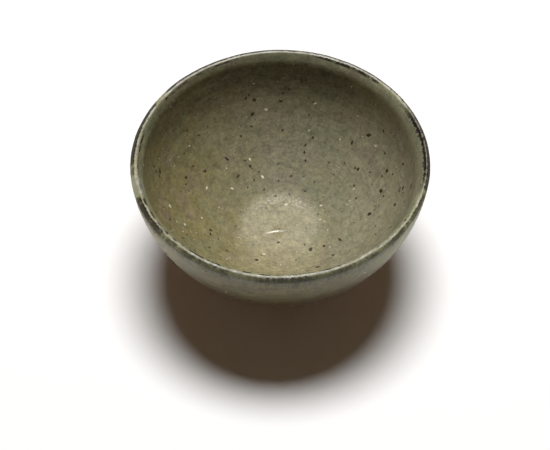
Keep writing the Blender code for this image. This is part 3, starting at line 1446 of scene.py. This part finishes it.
@dataclass(frozen=True)
class AshGlaze:
    """Ash glaze on stoneware, dipped and fired in reduction, painted layer by layer."""

    ground: FlamedGround = FlamedGround()
    gloss: FiredGloss = FiredGloss()
    pool: MilkyPool = MilkyPool()
    depth: AshGrain = AshGrain()
    crest: PaleRunAndCrestHighlight = PaleRunAndCrestHighlight()
    iron: IronLine = IronLine()
    # Fired glaze is a glass, so it has a glass's IOR and no metal
    ior: float = 1.54
    # The ash's own grain, about 0.2 mm, is too fine to show, so it is drawn two to five times as coarse
    grain_mm: float = 1.0
    fine_grain_mm: float = 0.42
    bump_height: float = 0.020 * MM
    bump_strength: float = 0.6
    lip_bump_height: float = 0.06 * MM

    def material(self, side: Side, form: CupForm) -> bpy.types.Material:
        """Build the finish for one stretch of the skin.

        Args:
            side: The stretch that it lies on.
            form: Sizes of the cup.

        Returns:
            The material.
        """
        sheet = GlazeSheet(f"ash_glaze_{side.value}", side, form)
        add = sheet.add
        grain = add("TexNoise", None, Vector=sheet.mm, Scale=1 / self.grain_mm, Detail=CLOUDY)
        fine = add("TexNoise", None, Vector=sheet.mm, Scale=1 / self.fine_grain_mm, Detail=SMOOTH)
        base = self.ground.paint(sheet)
        rough = self.gloss.paint(sheet, grain)
        if side is Side.INSIDE:
            base, rough = self.pool.paint(sheet, base, rough, fine)
        base = self.depth.paint(sheet, base, grain, fine)
        if side is not Side.INSIDE:
            base = self.crest.paint(sheet, base)
            base, rough = self.iron.paint(sheet, base, rough)
        bump = add("Bump", None, Height=fine, Distance=self.bump_height, Strength=self.bump_strength)
        if side is Side.LIP:
            bump = add("Bump", None, Height=grain, Distance=self.lip_bump_height, Normal=bump)
        return sheet.finish(Base_Color=base, Roughness=rough, Normal=bump, IOR=self.ior)


@dataclass(frozen=True)
class BareStoneware:
    """Unglazed stoneware, turned when leather hard and toasted in the kiln.

    The eye meets pale grog in a dry, gritty surface that is toasted orange in patches.
    """

    clay: str = "#8c6c4e"
    toasted: str = "#7a4e30"
    # Bare fired clay is dry, so its roughness is high and it has no shine
    roughness: float = 0.85
    patch_mm: float = 7.0
    toast_swing: Span = (0.35, 0.7)
    grog: SpotLayer = SpotLayer("#b39a7c", 0.8, 0.3, 0.5, 0.7)
    # Grit of about 0.15 mm is too fine to show, so it is drawn about twice as coarse
    grit_mm: float = 0.35
    grit_height: float = 0.05 * MM
    grit_strength: float = 0.8

    def material(self) -> bpy.types.Material:
        """Build the finish.

        Returns:
            The material.
        """
        sheet = Sheet("turned_stoneware")
        add = sheet.add
        patch = add("TexNoise", None, Vector=sheet.mm, Scale=1 / self.patch_mm, Detail=GRITTY)
        toast = add("MapRange", EASED, patch, *self.toast_swing)
        base = add("Mix", COLOUR, Factor=toast, A=linear(self.clay), B=linear(self.toasted))
        base = sheet.spotted(base, self.grog)
        grit = add("TexNoise", None, Vector=sheet.mm, Scale=1 / self.grit_mm, Detail=GRITTY)
        bump = add("Bump", None, Height=grit, Distance=self.grit_height, Strength=self.grit_strength)
        return sheet.finish(Base_Color=base, Roughness=self.roughness, Normal=bump)


@dataclass(frozen=True)
class FleckFinish:
    """A grain in the clay that has come up through the glaze: iron melted dark, or feldspar left pale.

    The eye meets the grain's own colour in its core, and the glaze's where it thins to its rim.
    """

    name: str
    colour: str
    edge: str
    roughness: float
    tone_mm: float = 0.6
    tone_share: float = 0.9
    core_span: Span = (0.55, 1.25)

    def material(self) -> bpy.types.Material:
        """Build the finish.

        Returns:
            The material.
        """
        sheet = Sheet(self.name)
        add = sheet.add
        core = add("Attribute", {"attribute_name": CORE_MARK}).outputs["Fac"]
        tone = add("TexNoise", None, Vector=sheet.mm, Scale=1 / self.tone_mm, Detail=CLOUDY)
        core = add("Math", TIMES_PLUS, tone, self.tone_share, core)
        core = add("MapRange", EASED, core, *self.core_span)
        base = add("Mix", COLOUR, Factor=core, A=linear(self.edge), B=linear(self.colour))
        return sheet.finish(Base_Color=base, Roughness=self.roughness)


@dataclass(frozen=True)
class GlazeCoat:
    """One coat of glaze: a closed shell cut from the skin."""

    side: Side
    name: str
    node: str
    slot: str
    back_stride: int = 4

    def build(self, skin: Skin, glaze: AshGlaze) -> bpy.types.Object:
        """Cut the shell and dress it.

        Args:
            skin: The glazed surface.
            glaze: The finish.

        Returns:
            The piece.
        """
        rows = skin.rows[self.side]
        face, normals = skin.points[rows], skin.normals[rows]
        kept = sorted({*range(0, len(face), self.back_stride), len(face) - 1})
        back = face[kept] - normals[kept] * skin.form.glaze
        parts = MeshParts(self.name)
        front_index = parts.add_grid(face)
        back_index = parts.add_grid(back)
        parts.add_faces(front_index, normals)
        parts.add_faces(back_index, normals[kept], flip=True)
        if self.side is not Side.INSIDE:
            parts.add_faces(np.stack([back_index[0], front_index[0]]))
        parts.add_faces(np.stack([front_index[-1], back_index[-1]]))
        piece = parts.build(glaze.material(self.side, skin.form))
        if self.side is not Side.INSIDE:
            reach = skin.from_crest[rows]
            mark_points(piece, CREST_MARK, np.append(reach.ravel(), reach[kept].ravel()))
        return ride_on_cup(piece, self.node)


@dataclass(frozen=True)
class ClayBody:
    """The thrown clay: hidden under its glaze, and bare from the hem to the middle of the base."""

    name: str = "clay_body"
    hidden_stride: int = 6
    hidden_margin: int = 3
    hidden_inset: float = 0.55 * MM
    base_rows: int = 26
    ring_pitch: float = 1.5 * MM
    ring_height: float = 0.05 * MM
    calm_share: float = 1 / 8

    def build(self, skin: Skin, clay: bpy.types.Material) -> bpy.types.Object:
        """Turn the body and dress it.

        Args:
            skin: The glazed surface, which the clay lies under.
            clay: The finish.

        Returns:
            The piece.
        """
        hidden = slice(0, skin.bare_start - self.hidden_margin, self.hidden_stride)
        under = skin.points[hidden] - skin.normals[hidden] * self.hidden_inset
        bare = skin.points[skin.bare_start :]
        grid = np.concatenate([under, bare, self.base(skin, bare[-1])])
        parts = MeshParts(self.name)
        parts.add_faces(parts.add_grid(grid), square_to(grid))
        return ride_on_cup(parts.build(clay), "clay_bowl")

    def base(self, skin: Skin, edge: np.ndarray) -> np.ndarray:
        """Lay the flat base, from its edge to its middle, with the rings that trimming left.

        Args:
            skin: The glazed surface.
            edge: The lowest row of the wall.

        Returns:
            Points by row and by angle.
        """
        share = np.linspace(1.0, 0.0, self.base_rows + 1)[1:, None]
        radius = share * np.hypot(edge[:, 0], edge[:, 1])
        angle = np.repeat(skin.angle[None, :], self.base_rows, axis=0)
        rings = self.ring_height * np.sin(FULL_TURN * radius / self.ring_pitch + angle)
        height = skin.form.base_height + rings * np.clip(share / self.calm_share, 0.0, 1.0)
        height[-1] = skin.form.base_height
        return turned(radius, height, angle)


@dataclass(frozen=True)
class TurnedFoot:
    """The foot ring: luted under the base, trimmed on the wheel and rounded where it stands."""

    name: str = "turned_foot"
    around: int = 192
    fillet: float = 0.9 * MM
    sink: float = 0.4 * MM
    arc_steps: int = 6
    wall_steps: int = 12
    ring_pitch: float = 1.1 * MM
    ring_height: float = 0.03 * MM
    wobble: Swell = Swell(0.08 * MM, 6.0, 4.1)

    def outline(self, form: CupForm) -> np.ndarray:
        """Draw the closed section: down the outer side, across the standing face and up the inner side.

        Args:
            form: Sizes of the cup.

        Returns:
            Radius and height of each point.
        """
        outer, inner = form.foot_radius, form.foot_radius - form.foot_width
        low, edge, top = outer - form.foot_taper, form.foot_edge, form.base_height
        turn = np.linspace(0.0, QUARTER_TURN, self.arc_steps)
        rise, run = 1 - np.sin(turn), 1 - np.cos(turn)
        outer_top = np.column_stack([outer + self.fillet * rise, top - self.fillet * run])
        outer_low = np.column_stack([low - edge * run, edge * rise])
        inner_low = np.column_stack([inner + edge * rise, edge * run])
        inner_top = np.column_stack([inner - self.fillet * run, top - self.fillet * rise])
        down = np.linspace(outer_top[-1], outer_low[0], self.wall_steps)[1:-1]
        up = np.linspace(inner_low[-1], inner_top[0], self.wall_steps)[1:-1]
        buried = [(inner_top[-1][0], top + self.sink), (outer_top[0][0], top + self.sink)]
        return np.vstack([outer_top, down, outer_low, inner_low, up, inner_top, buried])

    def build(self, form: CupForm, clay: bpy.types.Material) -> bpy.types.Object:
        """Turn the ring and dress it.

        Args:
            form: Sizes of the cup.
            clay: The finish.

        Returns:
            The piece.
        """
        outline = self.outline(form)
        radius, height = (np.repeat(column[:, None], self.around, axis=1) for column in outline.T)
        angle = np.linspace(0.0, FULL_TURN, self.around, endpoint=False)
        angle = np.repeat(angle[None, :], len(outline), axis=0)
        rings = self.ring_height * np.sin(FULL_TURN * height / self.ring_pitch + angle)
        rings = rings + self.wobble.lift(turned(radius, height, angle))
        grid = turned(radius + rings * smooth_step(0.0, form.foot_edge, height), height, angle)
        normals = square_to(np.concatenate([grid[-1:], grid, grid[:1]]))[1:-1]
        parts = MeshParts(self.name)
        index = parts.add_grid(grid)
        parts.add_faces(np.concatenate([index, index[:1]]), np.concatenate([normals, normals[:1]]))
        return ride_on_cup(parts.build(clay), "foot_ring")


@dataclass(frozen=True)
class View:
    """Camera at the photograph's viewpoint, given from the middle of the lip's top."""

    distance: float = 370 * MM
    elevation: float = math.radians(50.68)
    yaw: float = math.radians(0.367)
    pitch: float = math.radians(-53.81)
    focal_pixels: float = 1258.9
    sensor_mm: float = 36.0
    nearest: float = 10 * MM

    @property
    def turn(self) -> Euler:
        """How the camera is turned."""
        return Euler((QUARTER_TURN + self.pitch, 0.0, self.yaw))

    def spot(self, form: CupForm) -> Vector:
        """Where the camera is."""
        back = -self.distance * math.cos(self.elevation)
        return Vector((0.0, back, form.lip_top + self.distance * math.sin(self.elevation)))

    def ray(self, pixel: Span) -> Vector:
        """Direction in which a pixel of the photograph looks."""
        across, down = ((at - size / 2) / self.focal_pixels for at, size in zip(pixel, PHOTO_SIZE))
        return (self.turn.to_matrix() @ Vector((across, -down, -1.0))).normalized()

    def place(self, form: CupForm) -> bpy.types.Object:
        """Make the camera and use it.

        Args:
            form: Sizes of the cup.

        Returns:
            The camera.
        """
        data = bpy.data.cameras.new("view")
        data.sensor_width = self.sensor_mm
        data.lens = self.focal_pixels * self.sensor_mm / PHOTO_SIZE[0]
        data.clip_start = self.nearest
        camera = place_object(bpy.data.objects.new("view", data))
        camera.location = self.spot(form)
        camera.rotation_euler = self.turn
        bpy.context.scene.camera = camera
        return camera


@dataclass(frozen=True)
class FleckField:
    """Grains that show in the glaze: low domes, some where the photograph shows them, the rest strewn."""

    name: str
    slot: str
    finish: FleckFinish
    seen_at: tuple[Span, ...]
    strewn_inside: int
    strewn_outside: int
    radius_mm: Span
    small_share: float
    height: float
    seed: int
    size_power: float = 1.6
    most_stretch: float = 0.5
    unevenness: Span = (0.75, 0.5)
    sink: float = 0.05 * MM
    corners: int = 10
    inner_share: float = 0.6
    inner_lift: float = 0.7
    inner_core: float = 0.75

    def build(self, skin: Skin, view: View) -> bpy.types.Object:
        """Set every grain on the skin and dress them as one piece.

        Args:
            skin: The glazed surface.
            view: The photograph's viewpoint.

        Returns:
            The piece.
        """
        chance = random.Random(self.seed)
        tree = skin.search_tree()
        parts = MeshParts(self.name)
        spot = view.spot(skin.form)
        for pixel in self.seen_at:
            place, normal, _, _ = tree.ray_cast(spot, view.ray(pixel))
            self.add_fleck(parts, tree, chance, place, normal, 1.0)
        for side, count, size in (
            (Side.INSIDE, self.strewn_inside, self.small_share),
            (Side.OUTSIDE, self.strewn_outside, 1.0),
        ):
            for place, normal in self.strewn(skin, side, count, chance):
                self.add_fleck(parts, tree, chance, place, normal, size)
        piece = parts.build(self.finish.material())
        pattern = np.repeat([1.0, self.inner_core, 0.0], [1, self.corners, self.corners + 1])
        mark_points(piece, CORE_MARK, np.tile(pattern, parts.count // len(pattern)))
        return ride_on_cup(piece)

    @staticmethod
    def strewn(skin: Skin, side: Side, count: int, chance: random.Random) -> list[tuple[Vector, Vector]]:
        """Strew places evenly over one side of the skin.

        Args:
            skin: The glazed surface.
            side: The side.
            count: How many.
            chance: Source of randomness.

        Returns:
            Place and normal of each.
        """
        points, normals = skin.points[skin.rows[side]], skin.normals[skin.rows[side]]
        steps = np.linalg.norm(np.diff(points, axis=0), axis=-1)
        widths = np.linalg.norm(np.roll(points, -1, axis=1) - points, axis=-1)[:-1]
        heaped = np.cumsum((steps * widths).ravel())
        picks = [int(np.searchsorted(heaped, chance.random() * heaped[-1])) for _ in range(count)]
        spots = [divmod(pick, skin.around) for pick in picks]
        return [(Vector(points[spot]), Vector(normals[spot])) for spot in spots]

    def add_fleck(
        self,
        parts: MeshParts,
        tree: BVHTree,
        chance: random.Random,
        place: Vector,
        normal: Vector,
        size: float,
    ) -> None:
        """Add one grain: an uneven low dome whose rim and underside are sunk in the glaze.

        Args:
            parts: Mesh to add to.
            tree: The skin as a search tree.
            chance: Source of randomness.
            place: Where it sits on the skin.
            normal: The skin's normal there.
            size: Factor on its radius.
        """
        low, high = self.radius_mm
        radius = size * (low + (high - low) * chance.random() ** self.size_power) * MM
        along = normal.orthogonal().normalized()
        along.rotate(Matrix.Rotation(chance.random() * FULL_TURN, 3, normal))
        aside = normal.cross(along)
        stretch = 1.0 + self.most_stretch * chance.random()
        least, swing = self.unevenness
        reaches = [radius * (least + swing * chance.random()) for _ in range(self.corners)]
        rows = [[place + normal * self.height] * self.corners]
        for share, lift in ((self.inner_share, self.inner_lift * self.height), (1.0, -self.sink)):
            ring = []
            for corner, reach in enumerate(reaches):
                turn = FULL_TURN * corner / self.corners
                out = along * (math.cos(turn) * stretch) + aside * (math.sin(turn) / stretch)
                spot, square, _, _ = tree.find_nearest(place + out * (share * reach))
                ring.append(spot + square * lift)
            rows.append(ring)
        rows.append([place - normal * (2 * self.sink)] * self.corners)
        parts.add_faces(parts.add_grid(np.array(rows)))


@dataclass(frozen=True)
class Studio:
    """White table and one broad soft lamp, high and a little behind the cup."""

    lamp_distance: float = 1.5
    lamp_tilt: float = math.radians(13.0)
    lamp_turn: float = math.radians(3.0)
    lamp_width: float = 0.70
    lamp_depth: float = 0.50
    lamp_watts: float = 24.0
    fill: str = "#493c2f"
    backdrop_top: Span = (0.35, 0.25)
    table: str = "#f2f2f2"
    table_seen: float = 1.11
    table_reach: float = 0.6
    table_fade: Span = (0.22, 0.58)

    @staticmethod
    def seen(add: Callable[..., bpy.types.Node], mirrored: Input) -> bpy.types.Node:
        """Find the rays that show a thing to the eye: straight, through glass, or in a mirror.

        Args:
            add: Function that adds a node.
            mirrored: How far mirrors show it.

        Returns:
            Node with the mask.
        """
        path = add("LightPath").outputs
        straight = add("Math", MOST, path["Is Camera Ray"], path["Is Transmission Ray"])
        glossy = add("Math", TIMES, path["Is Glossy Ray"], mirrored)
        return add("Math", MOST, straight, glossy)

    def hang_lamp(self) -> None:
        """Add the lamp, which faces the cup."""
        data = bpy.data.lights.new("softbox", "AREA")
        data.shape = "ELLIPSE"
        data.size = self.lamp_width
        data.size_y = self.lamp_depth
        data.energy = self.lamp_watts
        lamp = place_object(bpy.data.objects.new("softbox", data))
        way = Euler((-self.lamp_tilt, 0.0, -self.lamp_turn)).to_matrix() @ Vector((0.0, 0.0, 1.0))
        lamp.location = way * self.lamp_distance
        lamp.rotation_euler = way.to_track_quat("Z", "Y").to_euler()

    def fill_air(self) -> None:
        """Add the dim fill from all round, which is seen as white. Mirrors see that white only low down."""
        world = bpy.data.worlds.new("studio_air")
        world.use_nodes = True
        bpy.context.scene.world = world
        world.node_tree.nodes.clear()
        add = partial(add_node, world.node_tree)
        height = add("SeparateXYZ", None, add("TexCoord").outputs["Generated"]).outputs["Z"]
        low = add("MapRange", EASED, height, *self.backdrop_top)
        fill, white = (add("Background", None, Color=linear(code)) for code in (self.fill, WHITE))
        air = add("MixShader", None, self.seen(add, low), fill, white)
        add("OutputWorld", None, Surface=air)

    def lay_table(self) -> bpy.types.Object:
        """Make the table, a board painted matt white, which gives the eye no shine.

        It is seen brighter than it is, and fades into the white air further out.

        Returns:
            The table.
        """
        reach = self.table_reach
        mesh = bpy.data.meshes.new("table")
        corners = [(-reach, -reach, 0.0), (reach, -reach, 0.0), (reach, reach, 0.0), (-reach, reach, 0.0)]
        mesh.from_pydata(corners, [], [(0, 1, 2, 3)])
        material = bpy.data.materials.new("matt_white_board")
        material.use_nodes = True
        material.node_tree.nodes.clear()
        add = partial(add_node, material.node_tree)
        plain = linear(self.table)
        bright = (*[self.table_seen * share for share in plain[:3]], 1.0)
        seen = self.seen(add, 1.0)
        paint = add("Mix", COLOUR, Factor=seen, A=plain, B=bright)
        board = add("BsdfDiffuse", None, Color=paint)
        away = add("VectorMath", LENGTH, add("TexCoord").outputs["Object"])
        fade = add("MapRange", EASED, away, *self.table_fade)
        fade = add("Math", TIMES, fade, seen)
        white = add("Emission", None, Color=linear(WHITE))
        add("OutputMaterial", None, Surface=add("MixShader", None, fade, board, white))
        mesh.materials.append(material)
        table = place_object(bpy.data.objects.new("table", mesh))
        return table


COATS = (
    GlazeCoat(Side.INSIDE, "liner_glaze", "inside_glaze", "inside_glaze"),
    GlazeCoat(Side.LIP, "lip_wash", "iron_lip", "iron_wash"),
    GlazeCoat(Side.OUTSIDE, "outer_glaze", "outside_glaze", "outside_glaze"),
)
IRON_SPECKS = FleckField(
    name="iron_specks",
    slot="iron_wash",
    finish=FleckFinish("iron_bled_through_glaze", "#392d17", "#675d3c", 0.60),
    seen_at=DARK_SPECKS_SEEN_AT,
    strewn_inside=140,
    strewn_outside=30,
    radius_mm=(0.50, 1.00),
    small_share=0.6,
    height=0.04 * MM,
    seed=11,
)
FELDSPAR_GRAINS = FleckField(
    name="feldspar_grains",
    slot="fired_clay",
    finish=FleckFinish("feldspar_in_glaze", "#cbc5ac", "#8f896b", 0.45),
    seen_at=PALE_GRAINS_SEEN_AT,
    strewn_inside=110,
    strewn_outside=20,
    radius_mm=(0.42, 0.72),
    small_share=0.5,
    height=0.05 * MM,
    seed=23,
)


def main() -> None:
    """Build the cup's pieces in order, then the table, the lamp and the camera."""
    logging.basicConfig(level=logging.INFO, format="%(message)s")
    form = CupForm.from_frame()
    skin = Skin(form, Throwing())
    view = View()
    glaze = AshGlaze()
    clay = BareStoneware().material()
    pieces = [coat.build(skin, glaze) for coat in COATS]
    pieces += [ClayBody().build(skin, clay), TurnedFoot().build(form, clay)]
    pieces += [flecks.build(skin, view) for flecks in (IRON_SPECKS, FELDSPAR_GRAINS)]
    for piece in pieces:
        LOG.info("piece %s: %d faces", piece.name, len(piece.data.polygons))

    studio = Studio()
    studio.lay_table()
    studio.hang_lamp()
    studio.fill_air()
    view.place(form)
    bpy.context.scene.view_settings.view_transform = "Standard"


if __name__ == "__main__":
    main()
